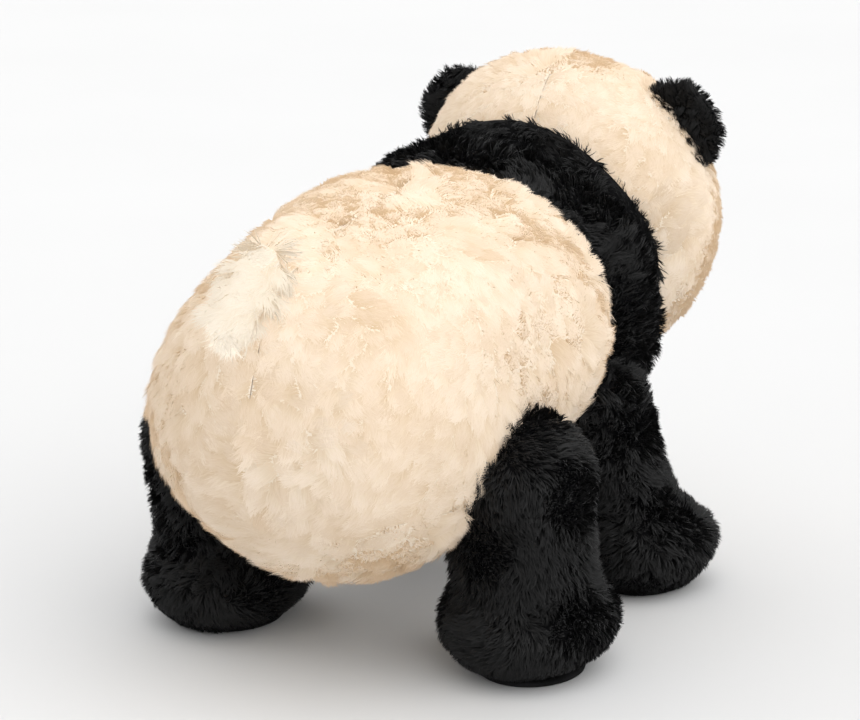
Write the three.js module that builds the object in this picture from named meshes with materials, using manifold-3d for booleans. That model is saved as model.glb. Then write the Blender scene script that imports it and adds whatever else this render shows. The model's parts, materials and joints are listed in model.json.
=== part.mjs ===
// A plush panda standing on four feet: sewn plush covers over fibre filling.
// Millimetres, +Z up. The panda faces -Y, and its own left side is +X.
// The origin is on the ground, at the middle of its length and width.

import * as THREE from "three";
import { mergeVertices } from "three/addons/utils/BufferGeometryUtils.js";
import Module from "manifold-3d";

const wasm = await Module();
wasm.setup();

// ---- driving dimensions ----

const COVER = 5; // plush fabric with its pressed pile
const GAP = 0.5; // between neighbouring pieces
const SWING_ROOM = 2; // round a piece that moves
const STEPS = 16; // sides of a large round form
const SMALL_STEPS = 12; // sides of a small one
const BIG = 600; // larger than the toy, for trimming blocks

// The body's cross sections from its rear to its front: [y, middle z, half width, half height].
const BODY = [
  [218, 146, 0, 0],
  [206, 142, 47, 46],
  [175, 141, 78, 76],
  [133, 141, 91, 88],
  [79, 149, 97, 88],
  [26, 157, 103, 83],
  [-8, 157, 96, 79],
  [-25, 157, 90, 78],
  [-50, 156, 99, 89],
  [-74, 154, 84, 78],
  [-92, 152, 0, 0],
];
const BAND_SEAM_Y = -22; // where the cream covers meet the black band
const BELLY_SEAM_Z = 100; // where the back panels meet the belly panel
const CHEST_SEAM_Z = 120; // where the shoulder band meets the chest panel

const HEAD = { centre: [-20, -116, 197], radii: [90, 63.5, 91], front: 70 };
const NECK = { centre: [-10, -58, 170], radius: 22 };
// The bowl that leaves the head free to turn and nod by 12 degrees: [distance from its axis, y].
const HEAD_ROOM = [
  [0, -300],
  [150, -300],
  [150, -120],
  [112, -83],
  [96, -61],
  [74, -46],
  [48, -40],
  [0, -39],
];

const MUZZLE = { centre: [-20, -180, 178], radii: [34, 30, 25] };
const NOSE = { centre: [-20, -207, 187], radii: [12, 9, 8] };
const STITCH = { width: 1.6, radius: 8, drop: 12, proud: 1.6 };

const EYE_SPREAD = 34; // either side of the face's middle
const EYE_Z = 212;
const EYE_RADIUS = 8;
const SHANK_RADIUS = 2.5;
const SHANK_LENGTH = 16;
const WASHER_RADIUS = 9;
const WASHER_DEPTH = 12; // from the face's surface to the washer
const WASHER_THICK = 1.5;
const PATCH = { spread: 38, z: 207, radii: [17, 40, 23], thick: 2.5 };

const EAR = { reach: 80, lean: 37, radius: 29, half_thick: 7.5, root: 90.5, y: -2 };
const EAR_FLOP = [-20, 40]; // degrees backward and forward

const TAIL = { centre: [8, 191, 211], radii: [18, 11, 30], lean: 51 };

// A leg's cross sections from its hip down to below its sole: [x, y, z, half width, half depth].
// The inner values give the sewn opening: its x, and its height above the ground.
const REAR_LEG = {
  hip: [86, 91, 100],
  hip_radius: 42,
  sections: [
    [85, 87, 70, 39, 41],
    [86, 82, 50, 40, 44],
    [88, 78, 30, 47, 53],
    [88, 78, 8, 39, 44],
    [88, 78, -20, 0, 0],
  ],
  inner_x: 68,
  inner_z: 58,
  swing: 20,
};
const FRONT_LEG = {
  hip: [64, -35, 112],
  hip_radius: 38,
  sections: [
    [72, -44, 82, 34, 35],
    [81, -56, 52, 33, 36],
    [90, -67, 29, 39, 46],
    [90, -67, 8, 32, 38],
    [90, -67, -20, 0, 0],
  ],
  inner_x: 48,
  inner_z: 58,
  swing: 20,
};
const SOLE_THICK = 4;

const CREAM = { color: 0xf6e7cf, roughness: 0.95, metalness: 0 };
const PALE = { color: 0xf5efe6, roughness: 0.95, metalness: 0 };
const BLACK = { color: 0x161618, roughness: 0.9, metalness: 0 };
const FIBRE = { color: 0xf2f2f0, roughness: 1, metalness: 0 };
const GLOSS = { color: 0x080808, roughness: 0.15, metalness: 0 };
const CLEAR = { color: 0xdcdcd6, roughness: 0.5, metalness: 0 };
const THREAD = { color: 0x101010, roughness: 0.6, metalness: 0 };

// ---- solids ----

const toy = new THREE.Group();

function solid(geometry) {
  geometry.deleteAttribute("normal");
  geometry.deleteAttribute("uv");
  const merged = mergeVertices(geometry, 1e-4);
  return new wasm.Manifold(
    new wasm.Mesh({
      numProp: 3,
      vertProperties: new Float32Array(merged.attributes.position.array),
      triVerts: new Uint32Array(merged.index.array),
    }),
  );
}

function joined(solids) {
  return solids.reduce((whole, next) => whole.add(next));
}

function add(name, piece, finish) {
  const mesh = piece.getMesh();
  const geometry = new THREE.BufferGeometry();
  geometry.setAttribute("position", new THREE.BufferAttribute(mesh.vertProperties, 3));
  geometry.setIndex(new THREE.BufferAttribute(mesh.triVerts, 1));
  geometry.computeVertexNormals();
  const node = new THREE.Mesh(geometry, new THREE.MeshStandardMaterial(finish));
  node.name = name;
  toy.add(node);
}

// A round cushion form. A larger or smaller one has an inset below or above 0.
function ellipsoid({ centre, radii }, inset = 0, sides = SMALL_STEPS) {
  const sphere = new THREE.SphereGeometry(1, sides, Math.round(sides * 0.6));
  sphere.scale(radii[0] - inset, radii[1] - inset, radii[2] - inset);
  return solid(sphere.translate(...centre));
}

function block(low, high) {
  const size = high.map((value, i) => value - low[i]);
  const box = new THREE.BoxGeometry(...size);
  return solid(box.translate(...low.map((value, i) => value + size[i] / 2)));
}

// A round rod along Y, from y0 to y1.
function rod(radius, [x, z], y0, y1) {
  const cylinder = new THREE.CylinderGeometry(radius, radius, y1 - y0, SMALL_STEPS);
  return solid(cylinder.translate(x, (y0 + y1) / 2, z));
}

// A smooth closed form through elliptical sections, from one end point to the other.
// Each section has its middle and its half sizes across the two directions in its plane.
function lofted(sections, inset, direction) {
  const ends = [sections[0], sections[sections.length - 1]].map(({ middle }) => middle[direction]);
  const centre = (ends[0] + ends[1]) / 2;
  const shrink = 1 - inset / Math.abs(ends[0] - centre);
  const middles = new THREE.CatmullRomCurve3(
    sections.map(({ middle }) => new THREE.Vector3(...middle)),
  );
  const sizes = new THREE.CatmullRomCurve3(
    sections.map(({ across }) => new THREE.Vector3(...across, 0)),
  );
  const sphere = new THREE.SphereGeometry(1, STEPS, sections.length + 1);
  const point = sphere.attributes.position;
  const [first, second] = [0, 1, 2].filter((axis) => axis !== direction);
  const flip = direction === 1 ? 1 : -1;
  for (let i = 0; i < point.count; i += 1) {
    const polar = Math.acos(THREE.MathUtils.clamp(point.getY(i), -1, 1));
    const around = Math.atan2(point.getZ(i) * flip, point.getX(i));
    const middle = middles.getPoint(polar / Math.PI).toArray();
    const size = sizes.getPoint(polar / Math.PI);
    const pole = polar < 1e-4 || polar > Math.PI - 1e-4;
    const place = [...middle];
    place[direction] = centre + (middle[direction] - centre) * shrink;
    place[first] += pole ? 0 : Math.max(size.x - inset, 0.5) * Math.cos(around);
    place[second] += pole ? 0 : Math.max(size.y - inset, 0.5) * Math.sin(around);
    point.setXYZ(i, ...place);
  }
  return solid(sphere);
}

// The solid turned by each of several rotations about a point, all joined.
function swept(piece, centre, turns) {
  const away = new THREE.Matrix4().makeTranslation(...centre.map((value) => -value));
  const back = new THREE.Matrix4().makeTranslation(...centre);
  return joined(
    turns.map((turn) => {
      const move = back.clone().multiply(turn).multiply(away);
      return piece.transform(move.elements);
    }),
  );
}

// Rotation matrices about an axis, one for each angle.
function turnsAbout(axis, degrees) {
  const unit = new THREE.Vector3(...axis).normalize();
  return degrees.map((angle) =>
    new THREE.Matrix4().makeRotationAxis(unit, THREE.MathUtils.degToRad(angle)),
  );
}

// ---- legs ----

// A leg from its dome in the body's pocket to its flat sole, open where it is sewn on.
// The spare length runs on past that opening and past the sole.
function legForm(leg, side, inset, spare = 0) {
  const [hipX, hipY, hipZ] = leg.hip;
  const dome = [90, 65, 40, 15].map((angle) => {
    const high = THREE.MathUtils.degToRad(angle);
    const radius = angle < 90 ? leg.hip_radius * Math.cos(high) : 0;
    return [hipX, hipY, hipZ + leg.hip_radius * Math.sin(high), radius, radius];
  });
  const sections = [...dome, ...leg.sections].map(([x, y, z, wide, deep]) => ({
    middle: [side * x, y, z],
    across: [wide, deep],
  }));
  const opening = leg.inner_x - spare;
  const inside = side > 0 ? [-BIG, opening] : [-opening, BIG];
  return lofted(sections, inset, 2)
    .subtract(block([-BIG, -BIG, -BIG], [BIG, BIG, -spare]))
    .subtract(block([inside[0], -BIG, leg.inner_z + spare], [inside[1], BIG, BIG]));
}

// The fan-shaped room that the top of a leg needs as it swings about its hip.
function legRoom(leg, side) {
  const [, y, z] = leg.hip;
  const radius = leg.hip_radius + 2 * SWING_ROOM;
  const swing = THREE.MathUtils.degToRad(leg.swing);
  const edge = [radius * Math.cos(swing), radius * Math.sin(swing)];
  const corner = [edge[0] + 2 * edge[1], edge[1] - 2 * edge[0]];
  const outline = new THREE.Shape();
  outline.moveTo(...corner);
  outline.lineTo(...edge);
  outline.absarc(0, 0, radius, swing, Math.PI - swing, false);
  outline.lineTo(-corner[0], corner[1]);
  outline.closePath();
  const fan = new THREE.ExtrudeGeometry(outline, {
    depth: BIG,
    bevelEnabled: false,
    curveSegments: 10,
  });
  const start = side > 0 ? leg.inner_x - SWING_ROOM : SWING_ROOM - leg.inner_x - BIG;
  const [x1, y1, z1] = [[1, 0, 0], [0, 1, 0], [0, 0, 1]].map((axis) => new THREE.Vector3(...axis));
  fan.applyMatrix4(new THREE.Matrix4().makeBasis(y1, z1, x1));
  return solid(fan.translate(start, y, z));
}

function addLeg(name, leg, side) {
  const aboveSole = block([-BIG, -BIG, SOLE_THICK + GAP], [BIG, BIG, BIG]);
  const solePanel = block([-BIG, -BIG, -BIG], [BIG, BIG, SOLE_THICK]);
  const outside = legForm(leg, side, 0);
  const hollow = legForm(leg, side, COVER, 1);
  add(`${name}_cover`, outside.subtract(hollow).intersect(aboveSole), BLACK);
  add(`${name}_sole`, outside.intersect(solePanel), BLACK);
  add(`${name}_filling`, legForm(leg, side, COVER + GAP).intersect(aboveSole), FIBRE);
}

const LEGS = [
  ["rear_leg_left", REAR_LEG, 1],
  ["rear_leg_right", REAR_LEG, -1],
  ["front_leg_left", FRONT_LEG, 1],
  ["front_leg_right", FRONT_LEG, -1],
];

// ---- head ----

// The back of the head is flatter than its front.
function headForm(inset = 0) {
  const sphere = new THREE.SphereGeometry(1, STEPS, SMALL_STEPS);
  const point = sphere.attributes.position;
  const [across, back, up] = HEAD.radii.map((value) => value - inset);
  const front = HEAD.front - inset;
  for (let i = 0; i < point.count; i += 1) {
    const y = point.getY(i);
    point.setXYZ(i, point.getX(i) * across, y * (y < 0 ? front : back), point.getZ(i) * up);
  }
  return solid(sphere.translate(...HEAD.centre));
}

// The neck's filling is a ball, so the head can turn and nod about its middle.
function neckBall(inset = 0) {
  return ellipsoid({ centre: NECK.centre, radii: Array(3).fill(NECK.radius) }, inset);
}

// The room that the head needs as it turns and nods.
function headRoom() {
  const profile = HEAD_ROOM.map(([radius, y]) => new THREE.Vector2(radius, y));
  const bowl = new THREE.LatheGeometry(profile, STEPS);
  return solid(bowl.translate(HEAD.centre[0], 0, HEAD.centre[2]));
}

// ---- ears ----

function earRoot(side) {
  const lean = THREE.MathUtils.degToRad(EAR.lean);
  const out = [side * Math.cos(lean), 0, Math.sin(lean)];
  const point = HEAD.centre.map((value, i) => value + out[i] * EAR.root);
  point[1] += EAR.y;
  return { out, point, tilt: side * (Math.PI / 2 - lean) };
}

// A flat round ear, cut off straight where it is sewn to the head.
function earForm(side, inset) {
  const disc = new THREE.SphereGeometry(1, SMALL_STEPS, 8);
  disc.scale(EAR.radius - inset, EAR.half_thick - inset, EAR.radius - inset);
  disc.translate(0, 0, EAR.reach - EAR.root);
  const form = solid(disc).subtract(block([-BIG, -BIG, -BIG], [BIG, BIG, Math.min(inset, 0)]));
  const { point, tilt } = earRoot(side);
  const place = new THREE.Matrix4().makeTranslation(...point);
  return form.transform(place.multiply(new THREE.Matrix4().makeRotationY(tilt)).elements);
}

// The room that the ear needs as it flops about its straight root.
function earRoom(side) {
  const { out, point } = earRoot(side);
  const turns = turnsAbout([out[2], 0, -out[0]], [EAR_FLOP[0], 0, EAR_FLOP[1]]);
  return swept(earForm(side, -SWING_ROOM), point, turns);
}

function addEar(name, side) {
  const form = earForm(side, 0);
  const middle = HEAD.centre[1] + EAR.y;
  add(`${name}_front`, form.intersect(block([-BIG, -BIG, -BIG], [BIG, middle - GAP / 2, BIG])), BLACK);
  add(`${name}_back`, form.intersect(block([-BIG, middle + GAP / 2, -BIG], [BIG, BIG, BIG])), BLACK);
}

// ---- face ----

// The y of the face's surface at an x and z.
function faceY([x, z]) {
  const across = (x - HEAD.centre[0]) / HEAD.radii[0];
  const up = (z - HEAD.centre[2]) / HEAD.radii[2];
  return HEAD.centre[1] - HEAD.front * Math.sqrt(1 - across * across - up * up);
}

function eyePlace(side) {
  const place = [HEAD.centre[0] + side * EYE_SPREAD, EYE_Z];
  return { place, y: faceY(place) };
}

// The holes for an eye's shank and for the washer that locks it from inside.
function shankHole(side) {
  const { place, y } = eyePlace(side);
  return rod(SHANK_RADIUS + GAP, place, y - 3 * PATCH.thick, y + SHANK_LENGTH + GAP);
}

function washerHole(side) {
  const { place, y } = eyePlace(side);
  const start = y + WASHER_DEPTH;
  return rod(WASHER_RADIUS + GAP, place, start - GAP, start + WASHER_THICK + GAP);
}

function addEye(name, side) {
  const { place, y } = eyePlace(side);
  const front = y - PATCH.thick;
  const ball = ellipsoid({
    centre: [place[0], front, place[1]],
    radii: [EYE_RADIUS, EYE_RADIUS * 0.8, EYE_RADIUS],
  });
  const shank = rod(SHANK_RADIUS, place, front - 2, y + SHANK_LENGTH);
  add(`eye_${name}`, ball.subtract(headForm(-PATCH.thick - GAP)).add(shank), GLOSS);

  const start = y + WASHER_DEPTH;
  const washer = rod(WASHER_RADIUS, place, start, start + WASHER_THICK);
  add(`eye_${name}_washer`, washer.subtract(shankHole(side)), CLEAR);

  const x = HEAD.centre[0] + side * PATCH.spread;
  const patch = ellipsoid({ centre: [x, faceY([x, PATCH.z]), PATCH.z], radii: PATCH.radii })
    .intersect(headForm(-PATCH.thick))
    .subtract(headForm(-GAP))
    .subtract(ellipsoid(MUZZLE, -GAP))
    .subtract(shankHole(side));
  add(`eye_patch_${name}`, patch, BLACK);
}

// An arc of a flat ring in the X-Z plane, from one angle to another.
function arcBar(x, z, radius, width, from, to, y0, y1) {
  const outline = new THREE.Shape();
  outline.absarc(0, 0, radius + width / 2, from, to, false);
  outline.absarc(0, 0, radius - width / 2, to, from, true);
  const bar = new THREE.ExtrudeGeometry(outline, {
    depth: y1 - y0,
    bevelEnabled: false,
    curveSegments: 5,
  });
  return solid(bar.rotateX(Math.PI / 2).translate(x, y1, z));
}

// Embroidery on the muzzle: a short line under the nose, with a curve on either side.
function mouthStitch() {
  const [x, y, z] = MUZZLE.centre;
  const half = STITCH.width / 2;
  const joint = z - STITCH.drop + 6;
  const line = block([x - half, y - BIG, joint - 1], [x + half, y, NOSE.centre[2] - 2]);
  const curves = [-1, 1].map((side) => {
    const middle = x + side * STITCH.radius;
    return arcBar(middle, joint, STITCH.radius, STITCH.width, Math.PI, 2 * Math.PI, y - 60, y);
  });
  return joined([line, ...curves])
    .intersect(ellipsoid(MUZZLE, -STITCH.proud))
    .subtract(ellipsoid(MUZZLE, -GAP))
    .subtract(ellipsoid(NOSE, -GAP));
}

function addFace() {
  const fabric = COVER - 1;
  const hollow = ellipsoid(MUZZLE, fabric);
  const behind = headForm(-GAP);
  add("muzzle_cover", ellipsoid(MUZZLE).subtract(hollow).subtract(behind), CREAM);
  add("muzzle_filling", ellipsoid(MUZZLE, fabric + GAP).subtract(behind), FIBRE);
  add("nose", ellipsoid(NOSE).subtract(ellipsoid(MUZZLE, -GAP)), GLOSS);
  add("mouth_stitch", mouthStitch(), THREAD);
  addEye("left", 1);
  addEye("right", -1);
}

function addHead() {
  const rooms = joined([neckBall(-1), earRoom(1), earRoom(-1), shankHole(1), shankHole(-1)]);
  const cover = headForm().subtract(headForm(COVER)).subtract(rooms);
  const seam = HEAD.centre[0];
  add("head_cover_left", cover.intersect(block([seam + GAP / 2, -BIG, -BIG], [BIG, BIG, BIG])), CREAM);
  add("head_cover_right", cover.intersect(block([-BIG, -BIG, -BIG], [seam - GAP / 2, BIG, BIG])), CREAM);
  const filling = headForm(COVER + GAP).subtract(rooms);
  add("head_filling", filling.subtract(washerHole(1)).subtract(washerHole(-1)), FIBRE);
  add("neck_filling", neckBall(), FIBRE);
}

// ---- body ----

function bodyForm(inset = 0) {
  const sections = BODY.map(([y, z, wide, high]) => ({ middle: [0, y, z], across: [wide, high] }));
  return lofted(sections, inset, 1);
}

function addBody() {
  const rooms = joined([headRoom(), neckBall(-1), ...LEGS.map(([, leg, side]) => legRoom(leg, side))]);
  const cover = bodyForm().subtract(bodyForm(COVER)).subtract(rooms);
  const half = GAP / 2;
  const chest = FRONT_LEG.inner_x - SWING_ROOM; // half the chest's width, between the front legs
  const panels = {
    back_panel_left: [[half, BAND_SEAM_Y + half, BELLY_SEAM_Z + half], [BIG, BIG, BIG]],
    back_panel_right: [[-BIG, BAND_SEAM_Y + half, BELLY_SEAM_Z + half], [-half, BIG, BIG]],
    belly_panel: [[-BIG, BAND_SEAM_Y + half, -BIG], [BIG, BIG, BELLY_SEAM_Z - half]],
    shoulder_band: [[-BIG, -BIG, CHEST_SEAM_Z + half], [BIG, BAND_SEAM_Y - half, BIG]],
    chest_panel: [[-chest, -BIG, -BIG], [chest, BAND_SEAM_Y - half, CHEST_SEAM_Z - half]],
  };
  for (const [name, [low, high]] of Object.entries(panels)) {
    const black = high[1] < BAND_SEAM_Y;
    add(name, cover.intersect(block(low, high)), black ? BLACK : CREAM);
  }
  add("body_filling", bodyForm(COVER + GAP).subtract(rooms), FIBRE);
}

// The tail is a short flap that lies on the rump and is sewn on at its top end.
function addTail() {
  const [x, y, z] = TAIL.centre;
  const flap = ellipsoid({ centre: [0, 0, 0], radii: TAIL.radii });
  const place = new THREE.Matrix4().makeTranslation(x, y, z);
  place.multiply(new THREE.Matrix4().makeRotationX(THREE.MathUtils.degToRad(TAIL.lean)));
  add("tail", flap.transform(place.elements).subtract(bodyForm(-1)), PALE);
}

// ---- the toy ----

addBody();
addTail();
addHead();
addFace();
addEar("ear_left", 1);
addEar("ear_right", -1);
LEGS.forEach(([name, leg, side]) => addLeg(name, leg, side));

export default toy;
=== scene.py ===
"""A plush panda on four legs: sewn covers with their pile, filling, plastic eyes, nose and stitching.

Metres, +Z up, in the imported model's frame. The panda faces -Y and its own left side is +X.
Every cover is a cloth skin that lies one pile height inside its CAD solid, and the pile grows on it.
"""

import json
import math

import bmesh
import bpy
import numpy as np
from mathutils import Matrix, Vector
from mathutils.bvhtree import BVHTree
from mathutils.kdtree import KDTree


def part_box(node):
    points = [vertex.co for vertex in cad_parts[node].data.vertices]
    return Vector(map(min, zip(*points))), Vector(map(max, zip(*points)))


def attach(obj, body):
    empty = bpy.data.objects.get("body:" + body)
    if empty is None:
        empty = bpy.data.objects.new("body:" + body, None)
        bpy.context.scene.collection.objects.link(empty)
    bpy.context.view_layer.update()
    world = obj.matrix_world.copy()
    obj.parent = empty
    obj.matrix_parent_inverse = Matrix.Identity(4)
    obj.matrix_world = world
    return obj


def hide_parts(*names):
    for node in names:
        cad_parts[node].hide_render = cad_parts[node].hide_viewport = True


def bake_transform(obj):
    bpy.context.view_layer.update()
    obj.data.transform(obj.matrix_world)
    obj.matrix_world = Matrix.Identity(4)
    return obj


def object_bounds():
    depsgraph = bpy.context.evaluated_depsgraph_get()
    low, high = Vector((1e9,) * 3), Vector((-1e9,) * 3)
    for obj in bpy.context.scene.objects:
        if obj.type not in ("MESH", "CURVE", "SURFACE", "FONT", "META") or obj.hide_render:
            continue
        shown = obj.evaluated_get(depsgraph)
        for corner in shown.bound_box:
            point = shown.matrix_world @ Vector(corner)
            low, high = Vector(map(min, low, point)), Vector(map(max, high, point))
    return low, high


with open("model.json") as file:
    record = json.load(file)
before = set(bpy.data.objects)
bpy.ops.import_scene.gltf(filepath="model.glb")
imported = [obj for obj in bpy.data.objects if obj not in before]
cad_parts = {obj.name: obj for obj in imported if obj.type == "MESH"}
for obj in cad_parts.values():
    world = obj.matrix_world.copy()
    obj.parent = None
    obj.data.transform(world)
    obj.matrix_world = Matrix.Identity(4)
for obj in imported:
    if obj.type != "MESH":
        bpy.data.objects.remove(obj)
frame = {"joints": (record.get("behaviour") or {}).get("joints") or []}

MM = 0.001
CAD_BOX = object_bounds()

CREAM_RISE = 6.0 * MM  # how far the pile lifts the outline off its cloth
BLACK_RISE = 5.0 * MM
CLOTH_THICK = 1.2 * MM
SEAM_GAP = 0.25 * MM  # half the gap between the cut edges of two panels
AROUND = 96  # points round a large form

JOINTS = {joint["name"]: joint for joint in frame["joints"]}


# ---- the frame's boxes ----


def box_of(*nodes):
    """The lowest and highest corner of several CAD nodes together, as arrays."""
    corners = [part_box(node) for node in nodes]
    low = np.min([np.array(pair[0]) for pair in corners], axis=0)
    high = np.max([np.array(pair[1]) for pair in corners], axis=0)
    return low, high


def joint_point(name):
    return np.array(JOINTS[name]["pos_m"], float)


def unit(vectors):
    length = np.linalg.norm(vectors, axis=-1, keepdims=True)
    return vectors / np.maximum(length, 1e-9)


# ---- smooth fields ----


def wave_field(seed, size, channels=1, waves=7):
    """A smooth wandering value in space, about -1 to 1, whose features are about size across."""
    rng = np.random.default_rng(seed)
    ways = unit(rng.normal(size=(channels, waves, 3)))
    rate = math.pi / size * rng.uniform(0.6, 1.3, (channels, waves, 1))
    phase = rng.uniform(0, 2 * math.pi, (channels, waves))

    def value(points):
        angle = np.einsum("nk,cwk->ncw", points, ways * rate) + phase
        return np.sin(angle).sum(axis=2) * 1.4 / math.sqrt(waves)

    return value


def smooth_rows(rows, steps, first=None, last=None):
    """A Catmull-Rom curve through the rows. first and last are the rows before and after its ends."""
    rows = np.array(rows, float)
    first = rows[0] if first is None else np.array(first, float)
    last = rows[-1] if last is None else np.array(last, float)
    knots = np.vstack([first, rows, last])
    out = []
    for i in range(len(rows) - 1):
        a, b, c, d = knots[i : i + 4]
        for t in np.linspace(0, 1, steps, endpoint=False):
            curve = 2 * b + (c - a) * t + (2 * a - 5 * b + 4 * c - d) * t**2
            out.append((curve + (3 * b - a - 3 * c + d) * t**3) / 2)
    return np.array(out + [rows[-1]])


# ---- meshes ----


def shell_mesh(name, rings, start=None, end=None):
    """A mesh through rings of points, closed round, with a point at either end or left open there."""
    count, around = rings.shape[:2]
    points = list(map(tuple, rings.reshape(-1, 3)))
    faces = []
    for i in range(count - 1):
        for j in range(around):
            k = (j + 1) % around
            faces.append((i * around + j, i * around + k, (i + 1) * around + k, (i + 1) * around + j))
    for point, ring in ((start, 0), (end, count - 1)):
        if point is None:
            continue
        points.append(tuple(point))
        for j in range(around):
            pair = (ring * around + j, ring * around + (j + 1) % around)
            faces.append((len(points) - 1, *(pair[::-1] if ring == 0 else pair)))
    mesh = bpy.data.meshes.new(name)
    mesh.from_pydata(points, [], faces)
    tidy_mesh(mesh)
    return mesh


def tidy_mesh(mesh):
    form = bmesh.new()
    form.from_mesh(mesh)
    bmesh.ops.remove_doubles(form, verts=form.verts, dist=1e-6)
    bmesh.ops.recalc_face_normals(form, faces=form.faces)
    form.to_mesh(mesh)
    form.free()
    mesh.polygons.foreach_set("use_smooth", [True] * len(mesh.polygons))
    mesh.update()


def cut_mesh(mesh, name, cuts):
    """A copy of the mesh that keeps what lies on the far side of each cut: (axis, side, place)."""
    form = bmesh.new()
    form.from_mesh(mesh)
    for axis, side, place in cuts:
        normal = [0, 0, 0]
        normal[axis] = side
        point = [0, 0, 0]
        point[axis] = place
        parts = form.verts[:] + form.edges[:] + form.faces[:]
        bmesh.ops.bisect_plane(
            form, geom=parts, plane_co=point, plane_no=normal, clear_inner=True, dist=1e-7
        )
    copy = bpy.data.meshes.new(name)
    form.to_mesh(copy)
    form.free()
    copy.polygons.foreach_set("use_smooth", [True] * len(copy.polygons))
    return copy


def ball_mesh(name, centre, radii, turn=None, sides=48, power=2.0):
    """A smooth round form. turn is a rotation matrix; power above 2 makes it squarer."""
    polar = np.linspace(0, math.pi, sides // 2 + 1)[1:-1]
    round_it = np.linspace(0, 2 * math.pi, sides, endpoint=False)
    ring = np.stack(
        [
            np.outer(np.sin(polar), np.cos(round_it)),
            np.outer(np.sin(polar), np.sin(round_it)),
            np.outer(np.cos(polar), np.ones(sides)),
        ],
        axis=2,
    )
    ring = ring / (np.abs(ring) ** power).sum(axis=2, keepdims=True) ** (1 / power)
    turn = np.eye(3) if turn is None else turn
    place = lambda points: (points * radii) @ turn.T + centre
    ends = place(np.array([[0, 0, 1.0], [0, 0, -1.0]]))
    return shell_mesh(name, place(ring), ends[0], ends[1])


def move_points(mesh, shift):
    """Replaces the mesh's points with shift(points, normals)."""
    points, normals = surface(mesh)
    mesh.vertices.foreach_set("co", shift(points, normals).astype(np.float32).ravel())
    mesh.update()


def surface(mesh):
    points = np.empty(len(mesh.vertices) * 3, np.float32)
    mesh.vertices.foreach_get("co", points)
    normals = np.empty(len(mesh.vertices) * 3, np.float32)
    mesh.vertices.foreach_get("normal", normals)
    return points.reshape(-1, 3).astype(float), normals.reshape(-1, 3).astype(float)


def tree_of(mesh):
    points = [v.co.copy() for v in mesh.vertices]
    return BVHTree.FromPolygons(points, [tuple(p.vertices) for p in mesh.polygons])


def stuffed(mesh, seed, depth, size=45 * MM):
    """The uneven, slightly lumpy surface of a cover over loose filling."""
    lumps = wave_field(seed, size)
    move_points(mesh, lambda points, normals: points + normals * lumps(points) * depth)
    return mesh


# ---- pieces ----


def piece(name, mesh, material, body, nodes=(), thick=0.0):
    """One visible piece. body is the body it rides on, or (a, b, start, end) for a piece between two bodies,
    which is left in place, attached to neither and not bent.
    """
    thing = bpy.data.objects.new(name, mesh)
    bpy.context.scene.collection.objects.link(thing)
    mesh.materials.append(material)
    if thick:
        shell = thing.modifiers.new("cloth thickness", "SOLIDIFY")
        shell.thickness = thick
        shell.offset = -1
    if isinstance(body, str):
        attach(thing, body)
    else:
        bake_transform(thing)
    if nodes:
        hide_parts(*nodes)
    return thing


# ---- materials ----


class Nodes:
    """Short calls for building one material's node tree."""

    def __init__(self, name):
        self.material = bpy.data.materials.new(name)
        self.material.use_nodes = True
        self.tree = self.material.node_tree
        self.shader = self.tree.nodes["Principled BSDF"]

    def add(self, kind, links=(), **values):
        node = self.tree.nodes.new(kind)
        for key, value in values.items():
            if hasattr(node, key):
                setattr(node, key, value)
            else:
                node.inputs[key.replace("_", " ")].default_value = value
        for name, source in links:
            self.tree.links.new(source, node.inputs[name])
        return node

    def join(self, source, name):
        self.tree.links.new(source, self.shader.inputs[name])

    def set(self, **values):
        for key, value in values.items():
            self.shader.inputs[key.replace("_", " ")].default_value = value

    def noise(self, scale, detail=3.0, vector=None):
        links = [("Vector", vector)] if vector else []
        return self.add("ShaderNodeTexNoise", links, Scale=scale, Detail=detail)

    def ramp(self, source, stops):
        node = self.add("ShaderNodeValToRGB", [("Fac", source)])
        bar = node.color_ramp.elements
        while len(bar) < len(stops):
            bar.new(0.5)
        for element, (place, colour) in zip(bar, stops):
            element.position = place
            element.color = (*colour, 1)
        return node.outputs["Color"]

    def mix(self, share, a, b):
        node = self.add("ShaderNodeMix", data_type="RGBA")
        self.tree.links.new(share, node.inputs[0])
        self.tree.links.new(a, node.inputs[6])
        self.tree.links.new(b, node.inputs[7])
        return node.outputs[2]

    def bump(self, height, strength, distance):
        node = self.add("ShaderNodeBump", [("Height", height)], Strength=strength, Distance=distance)
        self.join(node.outputs["Normal"], "Normal")

    def object_place(self):
        return self.add("ShaderNodeTexCoord").outputs["Object"]


def pile_material(name, root, middle, tip, shade, roughness, sheen, specular=0.2):
    """Fibres whose colour runs along V from a darker root, which is painted shade deep in the pile, to the
    tip, and from one tone to a darker one along U.
    """
    nodes = Nodes(name)
    layer = nodes.add("ShaderNodeUVMap", uv_map="OFBake").outputs["UV"]
    split = nodes.add("ShaderNodeSeparateXYZ", [("Vector", layer)])
    along = nodes.ramp(split.outputs["Y"], [(0.0, root), (0.45, middle), (1.0, tip)])
    darker = [tuple(c * s for c, s in zip(colour, shade)) for colour in (root, middle, tip)]
    other = nodes.ramp(split.outputs["Y"], [(0.0, darker[0]), (0.45, darker[1]), (1.0, darker[2])])
    nodes.join(nodes.mix(split.outputs["X"], other, along), "Base Color")
    rough = nodes.ramp(split.outputs["X"], [(0.0, (roughness * 0.9,) * 3), (1.0, (roughness,) * 3)])
    nodes.join(rough, "Roughness")
    nodes.set(Sheen_Weight=sheen, Sheen_Roughness=0.5, Specular_IOR_Level=specular)
    return nodes.material


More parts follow.
